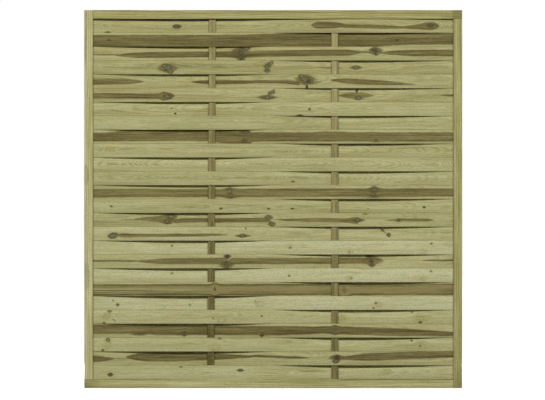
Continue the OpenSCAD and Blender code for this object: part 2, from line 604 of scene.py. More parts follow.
class TimberFinish:
    """Makes the material of each board from shared groups of nodes."""

    BOARD_ATTRIBUTE = "board"

    def __init__(self) -> None:
        """Make the groups that every board's material shares."""
        self.rings = GrowthRings()
        self.streak = DarkStreak()
        self.knot = KnotFigure()

    def material(self, board: Board) -> bpy.types.Material:
        """Make one board's material.

        Args:
            board: The board's looks.

        Returns:
            The material.
        """
        material = bpy.data.materials.new(board.name)
        material.use_nodes = True
        wiring = Wiring(material.node_tree)
        shader = material.node_tree.nodes["Principled BSDF"]
        shader.inputs["Specular IOR Level"].default_value = 0.2
        seed = board.seed * 13.7
        along, depth, across = self._axes(wiring, board)

        knots = [self._knot(wiring, knot, along, across, seed) for knot in board.knots]
        drawn = across
        for results in knots:
            drawn = drawn + results["Push"]
        drawn = drawn + wiring.noise(along / 260, seed, 5.3, 1.0) * 2.0

        figure = board.figure
        late = wiring.use(
            self.rings, Along=along, Depth=depth, Across=drawn, Pith_Depth=figure.pith_depth,
            Pith_Across=figure.pith_across, Taper=figure.taper, Swing=figure.swing,
            Spacing=figure.spacing, Seed=seed)["Late"]
        fibre = wiring.noise(along / 45, across / 1.3, depth / 1.3 + seed, 3.0)
        fleck = wiring.noise(along / 13, across / 5, depth / 5 + seed * 4, 2.0)
        vein = wiring.noise(along / 170, drawn / 3.8, depth / 6 + seed, 3.0)
        cloud = wiring.noise(along / 420, drawn / 17, depth / 30 + seed * 2, 2.0)
        thread = wiring.ramp(wiring.noise(along / 230, drawn / 2.6, depth / 4 + seed * 3, 1.0), 0.3, 0.5)
        grain = Grain(late, fibre, fleck, vein, cloud, thread)

        colour = self._sapwood(wiring, board, grain, along, across, seed)
        heart, inside, flames = self._heart_mask(wiring, board, along, drawn, seed, knots)
        colour = wiring.blend(heart, colour, self._heartwood(wiring, board, grain, inside, flames))
        for knot, results in zip(board.knots, knots):
            colour = self._lay_knot(wiring, board, knot, results, colour, vein)
        # Grime and painted shade along the long edges.
        colour = self._soil_and_edge_shade(wiring, board, colour, along, depth, across, seed)
        # Painted shade on each slat's upper edge, under the neighbour that stands out over it.
        if board.run is Run.WOVEN:
            colour = self._paint_crevice_shade(wiring, board, colour, along, depth, across, seed)
        wiring.feed(shader.inputs["Base Color"], colour)

        rough = 0.72 + vein * 0.1 - late * 0.08
        wiring.feed(shader.inputs["Roughness"], rough.held())
        bump = wiring.node("ShaderNodeBump")
        bump.inputs["Strength"].default_value = 0.35
        bump.inputs["Distance"].default_value = 0.5 * MM
        wiring.feed(bump.inputs["Height"], late * 0.35 + fibre * 0.5 + vein * 0.4)
        wiring.feed(shader.inputs["Normal"], bump.outputs["Normal"])
        return material

    def _axes(self, wiring: Wiring, board: Board) -> Tuple[Term, Term, Term]:
        """Find the board's own axes in mm: along the grain, through the board and across it."""
        if board.run is Run.WOVEN:
            source = wiring.node("ShaderNodeAttribute", attribute_name=self.BOARD_ATTRIBUTE)
            x, y, z = wiring.parts(source.outputs["Vector"])
            return x / MM, y / MM, z / MM
        source = wiring.node("ShaderNodeTexCoord")
        x, y, z = wiring.parts(source.outputs["Object"])
        if board.run is Run.ALONG_X:
            return x / MM, y / MM, (z - board.middle) / MM
        return z / MM, y / MM, (x - board.middle - z * board.lean) / MM

    def _knot(self, wiring: Wiring, knot: Knot, along: Term, across: Term, seed: float) -> Dict[str, Term]:
        """Place one knot's formula."""
        return wiring.use(
            self.knot, Along=along, Across=across, Centre_Along=knot.along,
            Centre_Across=knot.across, Half_Length=knot.length, Half_Width=knot.width,
            Tilt=math.radians(knot.tilt), Reach=knot.reach,
            Spread=knot.width * 1.7 if knot.spread is None else knot.spread, Seed=seed + knot.along)

    def _tones(self, wiring: Wiring, share: Term, tones: Tuple[Colour, Colour, Colour]) -> bpy.types.NodeSocket:
        """Pick a tone from a dark, a middle and a pale one."""
        darker = wiring.blend((share * 2.0).held(), tones[0], tones[1])
        return wiring.blend((share * 2.0 - 1.0).held(), darker, tones[2])

    def _sapwood(self, wiring: Wiring, board: Board, grain: Grain, along: Term, across: Term,
                 seed: float) -> bpy.types.NodeSocket:
        """Colour the sapwood: clouds, veins and late wood, mottled with preservative."""
        share = 0.5 + board.tone + along * (board.fade * MM) + grain.cloud * 0.45 + grain.vein * 0.45 \
            + grain.fibre * 0.3 - grain.late * board.figure.contrast - grain.thread * 0.16
        colour = self._tones(wiring, share, board.palette.sapwood)
        mottle = wiring.ramp(wiring.noise(along / 9, across / 4, seed * 7, 2.0), 0.02, 0.45)
        colour = wiring.blend(mottle * 0.4, colour, board.palette.mottle)
        region = wiring.ramp(wiring.noise(along / 90, across / 30, seed * 3, 1.0), -0.1, 0.3)
        speck = wiring.ramp(wiring.noise(along / 6.5, across / 3.2, seed * 5, 1.0), 0.22, 0.4)
        colour = wiring.blend(region * speck * board.salts, colour, board.palette.salt)
        pepper = wiring.ramp(wiring.noise(along / 6.0, across / 4.0, seed * 9, 1.0), 0.14, 0.42)
        return wiring.blend(pepper * 0.3, colour, board.palette.dirt_and_edge_shade)

    def _heart_mask(self, wiring: Wiring, board: Board, along: Term, drawn: Term, seed: float,
                    knots: Sequence[Dict[str, Term]]) -> Tuple[Value, Value, Value]:
        """Join the board's streaks and its knots' flames into one mask of dark wood."""
        ragged = drawn + wiring.noise(along / 60, drawn / 3.5, seed, 2.0) * 3.0
        heart: Value = 0.0
        inside: Value = 0.0
        flames: Value = 0.0
        for streak in board.streaks:
            far = streak.middle if streak.far is None else streak.far
            results = wiring.use(
                self.streak, Along=along, Across=ragged, Start=streak.start, End=streak.end,
                Height_at_Start=streak.middle, Height_at_End=far, Half_Height=streak.half,
                Lead=streak.lead, Tail=streak.tail, Edge=2.9)
            mask = results["Mask"] * streak.strength
            if streak.wood is Wood.SAP:
                heart = (1.0 - mask) * heart
            else:
                heart = mask.most(heart)
                inside = results["Inside"].most(inside)
        for knot, results in zip(board.knots, knots):
            if knot.kind is KnotKind.SOUND:
                flame = results["Flame"] * (0.9 * knot.strength)
                heart, flames = flame.most(heart), flame.most(flames)
        return heart, inside, flames

    def _heartwood(self, wiring: Wiring, board: Board, grain: Grain, inside: Value,
                   flames: Value) -> bpy.types.NodeSocket:
        """Colour the heartwood: darker along its edge and at knots, with lines along the edge."""
        middle = wiring.ramp(inside, 1.0, 14.0)
        line = wiring.math("COSINE", (inside + grain.vein * 4.0) * 1.15)
        share = 0.48 + board.heart_tone - board.edging * 0.3 + middle * board.edging * 0.7 \
            + grain.vein * 0.8 + grain.cloud * 0.65 + grain.fibre * 0.6 + grain.fleck * 0.26 \
            + line * 0.08 \
            - grain.thread * 0.3 - wiring.ramp(flames, 0.3, 1.0) * 0.22
        return self._tones(wiring, share, board.palette.heartwood)

    def _soil_and_edge_shade(self, wiring: Wiring, board: Board, colour: bpy.types.NodeSocket, along: Term,
              depth: Term, across: Term, seed: float) -> bpy.types.NodeSocket:
        """Darken the board's long corners with grime and preservative, and with painted shade where parts meet."""
        patchy = wiring.noise(along / 70, seed, 2.2, 2.0) * 0.5 + 0.6
        corner = (abs(across) / board.half).least(abs(depth) / board.half_depth)
        edge = wiring.ramp(corner, 1.0 - board.soiled_shaded_width / board.half, 1.0)
        return wiring.blend(edge * patchy, colour, board.palette.dirt_and_edge_shade)

    def _paint_crevice_shade(self, wiring: Wiring, board: Board, colour: bpy.types.NodeSocket, along: Term,
              depth: Term, across: Term, seed: float) -> bpy.types.NodeSocket:
        """Paint shade on a woven slat's upper edge, where its neighbour stands out over it and shadows it."""
        bent = wiring.parts(wiring.node("ShaderNodeTexCoord").outputs["Object"])[1] / MM - depth
        overhung = wiring.ramp(bent * depth * -1.0, 4.0, 32.0)
        patchy = (wiring.noise(along / 50, seed, 6.1, 2.0) * 0.8 + 0.85).held()
        edge = wiring.ramp(across, board.half - 8.0, board.half - 2.5)
        return wiring.blend(edge * overhung * patchy * 0.85, colour, board.palette.crevice_shade)

    def _lay_knot(self, wiring: Wiring, board: Board, knot: Knot, results: Dict[str, Term],
                  colour: bpy.types.NodeSocket, vein: Term) -> bpy.types.NodeSocket:
        """Lay one knot over the colour so far: haze and lines, then body, rim and core."""
        palette, strength = board.palette, knot.strength
        if knot.kind is not KnotKind.SOUND:
            colour = wiring.blend(results["Haze"] * (0.4 * strength), colour, palette.haze)
            colour = wiring.blend(results["Lines"] * (0.7 * strength), colour, palette.heartwood[1])
        if knot.kind is KnotKind.BURIED:
            return colour
        grey = (vein * 0.6 + knot.grey).held()
        body = wiring.blend(grey, palette.knot_dark, palette.knot_body)
        core = wiring.blend(grey, palette.knot_dark, palette.knot_grey)
        colour = wiring.blend(results["Body"] * (0.85 * strength), colour, body)
        colour = wiring.blend(results["Rim"] * (0.5 * strength), colour, palette.knot_rim)
        return wiring.blend(results["Core"] * (0.65 * strength), colour, core)


@dataclass(frozen=True)
class BradFinish:
    """Dull steel of the brads, stained by the wet timber."""

    steel: Colour = srgb(74, 72, 60)
    stain: Colour = srgb(38, 33, 20)

    def material(self) -> bpy.types.Material:
        """Make the material.

        Returns:
            The material.
        """
        material = bpy.data.materials.new("brad_steel")
        material.use_nodes = True
        wiring = Wiring(material.node_tree)
        shader = material.node_tree.nodes["Principled BSDF"]
        shader.inputs["Metallic"].default_value = 0.4
        x, y, z = wiring.parts(wiring.node("ShaderNodeTexCoord").outputs["Object"])
        blotch = wiring.noise(x / MM, y / MM, z / MM, 2.0)
        wiring.feed(shader.inputs["Base Color"], wiring.blend((blotch + 0.5).held(), self.steel, self.stain))
        wiring.feed(shader.inputs["Roughness"], (blotch * 0.2 + 0.55).held())
        return material


SLAT_WOOD = Palette((srgb(134, 127, 76), srgb(169, 164, 113), srgb(193, 189, 148)))
FRAME_WOOD = Palette((srgb(128, 118, 66), srgb(168, 163, 106), srgb(204, 200, 154)))
BATTEN_WOOD = Palette((srgb(76, 68, 22), srgb(143, 132, 85), srgb(178, 168, 125)))


def slat_boards() -> List[Board]:
    """List the looks of the slats from the top down, as the photograph shows them.

    Returns:
        One board for each slat.
    """
    plain = Figure()
    arched = Figure(pith_across=2, pith_depth=22, taper=50, swing=20, spacing=3.7, contrast=0.28)
    sap = Wood.SAP
    pin, buried = KnotKind.PIN, KnotKind.BURIED
    looks: List[Dict[str, Any]] = [
        dict(figure=arched, tone=-0.05, streaks=(
                Streak(1078, 1262, 3, 16, lead=40, tail=100),
                Streak(1190, 1570, 0, 9, lead=60, tail=150, far=-8),
                Streak(1490, 1692, -9, 12, lead=120, tail=30, far=1)),
             knots=(Knot(441, -3, 20, 11, reach=30, spread=10, grey=0.3),
                    Knot(113, -33, 9, 5, grey=0.2), Knot(1648, 2, 17, 9, reach=30, spread=12, grey=0.4))),
        dict(edging=0.1, heart_tone=-0.13, streaks=(
                Streak(-80, 1900, 0, 60),
                Streak(-80, 980, 34, 11, tail=420, wood=sap),
                Streak(1330, 1990, -36, 13, lead=340, wood=sap)),
             knots=(Knot(118, -2, 10, 5, grey=0.0, strength=0.5), Knot(1490, -3, 6, 5, grey=0.0),
                    Knot(1635, 0, 6, 4, grey=0.2, strength=0.5))),
        dict(tone=-0.06, heart_tone=-0.08, streaks=(
                Streak(10, 175, -5, 3, tail=30),
                Streak(140, 790, -9, 14, lead=150, tail=20, far=-1),
                Streak(770, 1335, -2, 15, lead=20, tail=110, far=6),
                Streak(1290, 1380, 7, 4, lead=20, tail=20),
                Streak(1380, 1900, 4, 16, lead=250, far=2)),
             knots=(Knot(746, 4, 15, 13, reach=62, spread=34, grey=0.35),
                    Knot(774, 25, 14, 6, tilt=15, reach=26, grey=0.9),
                    Knot(751, 27, 10, 6, reach=20, grey=0.2), Knot(747, -26, 5, 8, tilt=-30, grey=0.0),
                    Knot(1387, 14, 9, 14, reach=42, spread=24, grey=0.2),
                    Knot(1374, 17, 6, 5, grey=0.0), Knot(1389, -3, 5, 5, grey=0.0))),
        dict(tone=-0.12, streaks=(
                Streak(84, 345, 0, 1.8, lead=60, tail=20, far=-2, strength=0.5),
                Streak(405, 520, 6, 3, lead=10, tail=60, strength=0.6),
                Streak(590, 690, 5, 3, lead=40, tail=50, far=1, strength=0.55),
                Streak(1100, 1232, -2, 3.5, lead=90, tail=40, strength=0.8)),
             knots=(Knot(398, -4, 24, 16, tilt=-25, reach=62, spread=26, grey=0.7),
                    Knot(383, 8, 9, 8, grey=1.0), Knot(409, -20, 16, 8, tilt=-32, grey=1.0),
                    Knot(872, 3, 12, 14, reach=24, spread=16, grey=0.8, strength=0.8),
                    Knot(888, 20, 20, 8, tilt=50, reach=20, spread=10, grey=0.9),
                    Knot(871, -15, 11, 7, tilt=-25, reach=20, grey=0.8),
                    Knot(1295, -1, 14, 11, reach=36, spread=12, grey=0.9))),
        dict(tone=-0.06, heart_tone=-0.1, streaks=(
                Streak(-80, 290, -1, 14, tail=105),
                Streak(500, 890, -3, 12, lead=150, tail=330),
                Streak(740, 1030, -2, 8, lead=120, tail=10, far=0),
                Streak(1060, 1135, 1, 2.5, tail=50),
                Streak(1165, 1600, 6, 13, lead=110, tail=330, far=-15)),
             knots=(Knot(1054, 8, 34, 16, tilt=-28, reach=60, spread=30, grey=0.7),
                    Knot(1035, 25, 15, 7, tilt=-20, reach=20, grey=0.9),
                    Knot(1066, 1, 10, 8, reach=18, grey=0.1), Knot(1060, -27, 6, 9, reach=8, grey=0.0))),
        dict(tone=-0.07, streaks=(
                Streak(-80, 434, -4, 13, tail=48),
                Streak(975, 1055, -3, 2, lead=20, tail=40, strength=0.5),
                Streak(1205, 1385, -2, 13, lead=75, tail=78),
                Streak(1690, 1900, -2, 5, lead=70)),
             knots=(Knot(397, -6, 14, 8, reach=26, spread=18, grey=0.9), Knot(378, -6, 4, 9, reach=6, grey=0.0),
                    Knot(892, 13, 21, 8, tilt=42, reach=24, spread=10, grey=0.8),
                    Knot(872, -10, 12, 9, reach=56, spread=15, grey=1.0),
                    Knot(1306, -12, 14, 10, reach=30, spread=14, grey=0.9),
                    Knot(1298, 20, 6, 11, tilt=-20, reach=6, grey=0.2))),
        dict(figure=Figure(pith_across=6, pith_depth=34, taper=-30, contrast=0.3), tone=0.07,
             knots=(Knot(416, 4, 6, 3.5, grey=0.0, strength=0.8, kind=pin),
                    Knot(433, -22, 6, 5, grey=0.0, kind=pin),
                    Knot(1073, -2, 7, 6, grey=0.5, kind=pin), Knot(1027, -31, 11, 4, grey=0.0))),
        dict(tone=0.03, salts=0.9),
        dict(heart_tone=-0.06, streaks=(
                Streak(-80, 805, 7, 28, tail=40),
                Streak(590, 800, -20, 16, lead=170, tail=15),
                Streak(760, 1900, -1, 22, lead=30, far=-1),
                Streak(1000, 1330, 6, 19, lead=160, tail=140),
                Streak(-80, 190, 31, 12, tail=140, wood=sap)),
             knots=(Knot(762, -18, 14, 8, reach=30, spread=20, grey=0.4, strength=0.8),
                    Knot(764, 22, 12, 8, reach=34, spread=20, grey=0.4, strength=0.8),
                    Knot(1390, -15, 8, 5, grey=0.1, strength=0.7))),
        dict(figure=arched, tone=0.05, fade=-0.05, salts=0.8,
             knots=(Knot(130, 4, 14, 7, kind=buried), Knot(285, 5, 9, 5, strength=0.6, kind=buried))),
        dict(tone=0.16, figure=Figure(
            pith_across=5, pith_depth=6, taper=70, swing=18, spacing=3.3, contrast=0.42)),
        dict(figure=arched, tone=0.04, salts=0.8,
             knots=(Knot(128, 5, 13, 7, kind=buried), Knot(652, -4, 12, 7, kind=buried),
                    Knot(866, -1, 12, 7, kind=buried),
                    Knot(994, -15, 9, 4, grey=0.0, strength=0.9, kind=pin))),
        dict(heart_tone=0.07, streaks=(Streak(-80, 1900, -5, 20, far=-1),),
             knots=(Knot(692, 5, 10, 9, tilt=-30, reach=30, spread=24, grey=0.9),
                    Knot(697, -14, 11, 9, tilt=20, grey=0.8),
                    Knot(1381, 12, 10, 8, reach=30, spread=24, grey=0.8),
                    Knot(1376, -11, 11, 9, tilt=-20, grey=0.8))),
        dict(figure=Figure(pith_across=-4, pith_depth=30, taper=20, contrast=0.28), tone=0.05,
             salts=0.8,
             knots=(Knot(129, -1, 8, 4, tilt=-12, grey=0.0, kind=pin),
                    Knot(651, -12, 8, 4, tilt=15, grey=0.0, kind=pin),
                    Knot(878, -13, 8, 4, grey=0.1, kind=pin), Knot(991, -12, 8, 4, grey=0.1, kind=pin),
                    Knot(1352, -13, 5, 3, grey=0.2, strength=0.6, kind=pin),
                    Knot(1620, -6, 8, 5, tilt=-15, grey=0.1, kind=pin))),
        dict(streaks=(
                Streak(-80, 420, -14, 13, tail=160, strength=0.22),
                Streak(160, 320, 0, 5, lead=90, tail=40, strength=0.7),
                Streak(220, 430, 3, 15, lead=190, tail=20),
                Streak(420, 885, -2, 10, lead=10, tail=14, far=0),
                Streak(885, 1305, 0, 10, lead=300, far=-2),
                Streak(1425, 1670, -2, 7, lead=130, tail=60, far=-1)),
             knots=(Knot(413, 15, 15, 10, tilt=10, reach=40, spread=20, grey=0.9), Knot(395, -7, 11, 9, grey=1.0),
                    Knot(878, 11, 10, 9, reach=26, spread=16, grey=0.9), Knot(893, -20, 16, 9, tilt=-48, grey=0.9),
                    Knot(1302, -1, 13, 9, reach=42, spread=13, grey=0.8),
                    Knot(1338, 28, 12, 3, grey=0.0, strength=0.5), Knot(1497, -1, 5, 4, grey=0.0))),
        dict(tone=0.22, fade=-0.08, heart_tone=0.14, streaks=(
                Streak(150, 700, -9, 8, lead=60, tail=170, far=-5),
                Streak(955, 1080, -2, 2.5, lead=60, tail=60, strength=0.5)),
             knots=(Knot(138, -9, 24, 12, tilt=25, reach=34, spread=18, grey=0.8),
                    Knot(754, -10, 17, 10, reach=46, spread=9, grey=0.8),
                    Knot(770, 25, 4, 5, grey=0.1, strength=0.8, kind=pin),
                    Knot(1450, -5, 12, 8, tilt=-30, reach=14, grey=0.8),
                    Knot(1420, 17, 24, 4, tilt=-42, reach=12, spread=8, grey=0.5, strength=0.8))),
        dict(tone=0.31, salts=1.0,
             knots=(Knot(418, 9, 6, 5, grey=0.5, strength=0.8, kind=pin),
                    Knot(398, -24, 9, 6, strength=0.5, kind=buried),
                    Knot(981, -1, 7, 5, grey=0.7, strength=0.8, kind=pin),
                    Knot(1266, -21, 12, 9, strength=0.9, kind=buried),
                    Knot(1262, -21, 4, 4, grey=0.3, strength=0.7, kind=pin),
                    Knot(1653, 19, 6, 5, grey=0.4, strength=0.8, kind=pin),
                    Knot(1616, -20, 12, 7, strength=0.9, kind=buried))),
        dict(tone=0.04, heart_tone=0.05, streaks=(
                Streak(-80, 270, 3, 4, tail=60),
                Streak(240, 690, 2, 15, lead=190, tail=30),
                Streak(680, 1385, 1, 15, lead=30, tail=40, far=4),
                Streak(1385, 1425, 5, 4, tail=35),
                Streak(1600, 1900, 5, 4, lead=80)),
             knots=(Knot(681, 24, 10, 11, reach=24, spread=16, grey=0.0),
                    Knot(678, -15, 13, 12, reach=44, spread=22, grey=0.5),
                    Knot(1357, 28, 13, 8, reach=30, spread=14, grey=0.0),
                    Knot(1368, 3, 12, 10, reach=66, spread=26, grey=0.3),
                    Knot(1371, -15, 11, 9, reach=24, grey=0.5))),
        dict(tone=0.24, fade=0.15, salts=1.0,
             knots=(Knot(417, 10, 6, 5, grey=0.6, strength=0.8, kind=pin),
                    Knot(976, -1, 6, 5, grey=0.5, strength=0.8, kind=pin),
                    Knot(1262, -14, 13, 9, kind=buried),
                    Knot(1270, -14, 5, 4, grey=0.4, strength=0.6, kind=pin),
                    Knot(1651, 20, 6, 5, grey=0.5, strength=0.7, kind=pin),
                    Knot(1612, -18, 12, 8, strength=0.8, kind=buried))),
        dict(edging=1.0, heart_tone=0.03, streaks=(
                Streak(-80, 1900, -4, 27, far=0),
                Streak(-80, 620, -3, 6, tail=400, strength=0.45, wood=sap)),
             knots=(Knot(120, -6, 210, 1.9, reach=10, grey=0.0, strength=0.9),
                    Knot(622, 2, 6, 12, reach=9, grey=0.2, strength=0.7),
                    Knot(1238, 3, 10, 24, tilt=10, reach=16, grey=0.5, strength=0.4))),
        dict(tone=0.25, fade=0.12, salts=0.9,
             knots=(Knot(159, -8, 8, 6, grey=0.7, kind=pin), Knot(137, 13, 3, 4, grey=0.2, kind=pin),
                    Knot(503, -8, 5, 5, grey=0.7, strength=0.6, kind=pin),
                    Knot(815, 8, 4, 5, grey=0.4, strength=0.6, kind=pin),
                    Knot(838, -4, 16, 14, strength=0.7, kind=buried),
                    Knot(1390, -1, 7, 5, grey=0.8, kind=pin), Knot(1378, -24, 5, 4, grey=0.1, kind=pin),
                    Knot(1405, -6, 14, 12, strength=0.7, kind=buried))),
        dict(tone=0.14, salts=0.6,
             knots=(Knot(121, 27, 13, 6, reach=9, grey=1.0, strength=0.8),
                    Knot(107, 2, 17, 12, tilt=30, kind=buried),
                    Knot(94, -28, 9, 4, reach=8, grey=1.0, strength=0.8),
                    Knot(142, -15, 7, 3, tilt=-30, grey=0.4, strength=0.7, kind=pin),
                    Knot(614, -6, 4, 4, grey=0.2, kind=pin), Knot(654, -14, 17, 12, kind=buried),
                    Knot(846, 4, 5, 4, grey=0.0, kind=pin), Knot(1561, 22, 4, 4, grey=0.1, kind=pin),
                    Knot(1600, -9, 20, 12, kind=buried),
                    Knot(1600, -26, 11, 5, reach=9, grey=0.2, strength=0.8),
                    Knot(1225, -5, 16, 12, kind=buried))),
        dict(heart_tone=-0.11, streaks=(
                Streak(-80, 560, 8, 22, tail=220, far=4),
                Streak(180, 1250, 0, 22, lead=260, tail=300, far=2),
                Streak(1000, 1900, 9, 19, lead=200, tail=500, far=-20)),
             knots=(Knot(477, -14, 4, 9, reach=6, grey=0.3, strength=0.6), Knot(846, -21, 11, 7, reach=12, grey=0.2),
                    Knot(262, -16, 40, 7, reach=44, spread=10, grey=0.0, strength=0.5),
                    Knot(1195, 8, 6, 9, reach=8, grey=0.9, strength=0.5))),
        dict(tone=0.16, salts=0.7,
             knots=(Knot(113, 22, 12, 8, tilt=30, reach=14, grey=1.0, strength=0.8),
                    Knot(112, -2, 16, 12, tilt=60, kind=buried),
                    Knot(88, -26, 9, 5, reach=8, grey=0.9, strength=0.8),
                    Knot(645, 29, 12, 4, reach=8, grey=1.0, strength=0.8),
                    Knot(626, -16, 18, 12, kind=buried),
                    Knot(1559, 19, 5, 4, grey=0.2, kind=pin), Knot(1600, -6, 5, 5, grey=0.3, kind=pin),
                    Knot(1610, -4, 14, 10, strength=0.6, kind=buried))),
        dict(tone=0.03, heart_tone=-0.12, streaks=(
                Streak(-80, 150, -2, 16, tail=120),
                Streak(60, 250, 0, 5, lead=60, tail=60, strength=0.35),
                Streak(190, 850, 6, 21, lead=120, tail=480, far=9),
                Streak(785, 1080, 13, 6, lead=40, tail=90, far=2),
                Streak(1205, 2000, 0, 18, lead=180, far=33)),
             knots=(Knot(1204, 3, 15, 12, reach=46, spread=18, grey=0.0), Knot(1198, -13, 11, 8, grey=1.0))),
        dict(tone=0.19, figure=Figure(pith_across=0, pith_depth=30, taper=24, contrast=0.3), salts=0.6,
             streaks=(Streak(1010, 1170, 5, 3, lead=50, tail=60, strength=0.7),),
             knots=(Knot(124, -11, 11, 8, tilt=35, reach=18, spread=12, grey=0.6),
                    Knot(743, 10, 12, 8, reach=22, spread=8, grey=0.7), Knot(460, 26, 8, 3, grey=0.0, kind=pin),
                    Knot(1443, 9, 12, 8, strength=0.8, kind=buried))),
    ]
    for number, look in enumerate(looks):
        look.setdefault("figure", plain)
    return [Board(name=f"slat_timber_{number:02d}", palette=SLAT_WOOD, seed=number, **look)
            for number, look in enumerate(looks, start=1)]


def bend_curvature(x: Sequence[float], y: Sequence[float]) -> Tuple[float, float]:
    """Find how strongly a springy strip is curved at its two inner supports.

    Args:
        x: Places of its four supports along the strip.
        y: How far each support lies off the middle plane.

    Returns:
        The curvature at the second and third support.
    """
    first, second, third = x[1] - x[0], x[2] - x[1], x[3] - x[2]
    slopes = (y[1] - y[0]) / first, (y[2] - y[1]) / second, (y[3] - y[2]) / third
    p, q = 6 * (slopes[1] - slopes[0]), 6 * (slopes[2] - slopes[1])
    u, v = 2 * (first + second), 2 * (second + third)
    determinant = u * v - second * second
    return (p * v - q * second) / determinant, (q * u - p * second) / determinant


class GeometryTree:
    """A Geometry Nodes tree with named inputs."""

    def __init__(self, title: str, inputs: Sequence[Tuple[str, str]]) -> None:
        """Make the tree with its inputs and one mesh output.

        Args:
            title: The tree's name.
            inputs: Name and socket type of each input.
        """
        self.tree = bpy.data.node_groups.new(title, "GeometryNodeTree")
        interface = self.tree.interface
        self.keys = {
            name: interface.new_socket(name=name, in_out="INPUT", socket_type=kind).identifier
            for name, kind in inputs}
        interface.new_socket(name="Mesh", in_out="OUTPUT", socket_type="NodeSocketGeometry")
        self.wiring = Wiring(self.tree)
        self.entry = self.wiring.node("NodeGroupInput")
        self.exit = self.wiring.node("NodeGroupOutput")

    def term(self, name: str) -> Term:
        """Read one numeric input."""
        return Term(self.wiring, self.entry.outputs[name])

    def close(self, geometry: bpy.types.NodeSocket) -> None:
        """End the tree with real geometry that carries its material.

        Args:
            geometry: The geometry to give out.
        """
        real = self.wiring.node("GeometryNodeRealizeInstances")
        self.wiring.feed(real.inputs[0], geometry)
        dressed = self.wiring.node("GeometryNodeSetMaterial")
        self.wiring.feed(dressed.inputs["Geometry"], real.outputs[0])
        self.wiring.feed(dressed.inputs["Material"], self.entry.outputs["Material"])
        self.wiring.feed(self.exit.inputs[0], dressed.outputs[0])

    def run(self, name: str, values: Dict[str, Any]) -> bpy.types.Object:
        """Make one piece from the tree.

        Args:
            name: Name of the piece.
            values: What the tree's inputs take, by name.

        Returns:
            The piece as a plain mesh at the origin.
        """
        holder = bpy.data.objects.new(name, bpy.data.meshes.new(name))
        bpy.context.collection.objects.link(holder)
        modifier = holder.modifiers.new("shape", "NODES")
        modifier.node_group = self.tree
        for key, value in values.items():
            modifier[self.keys[key]] = value
        graph = bpy.context.evaluated_depsgraph_get()
        shaped = bpy.data.meshes.new_from_object(holder.evaluated_get(graph), depsgraph=graph)
        shaped.name = name
        holder.modifiers.clear()
        holder.data = shaped
        return holder


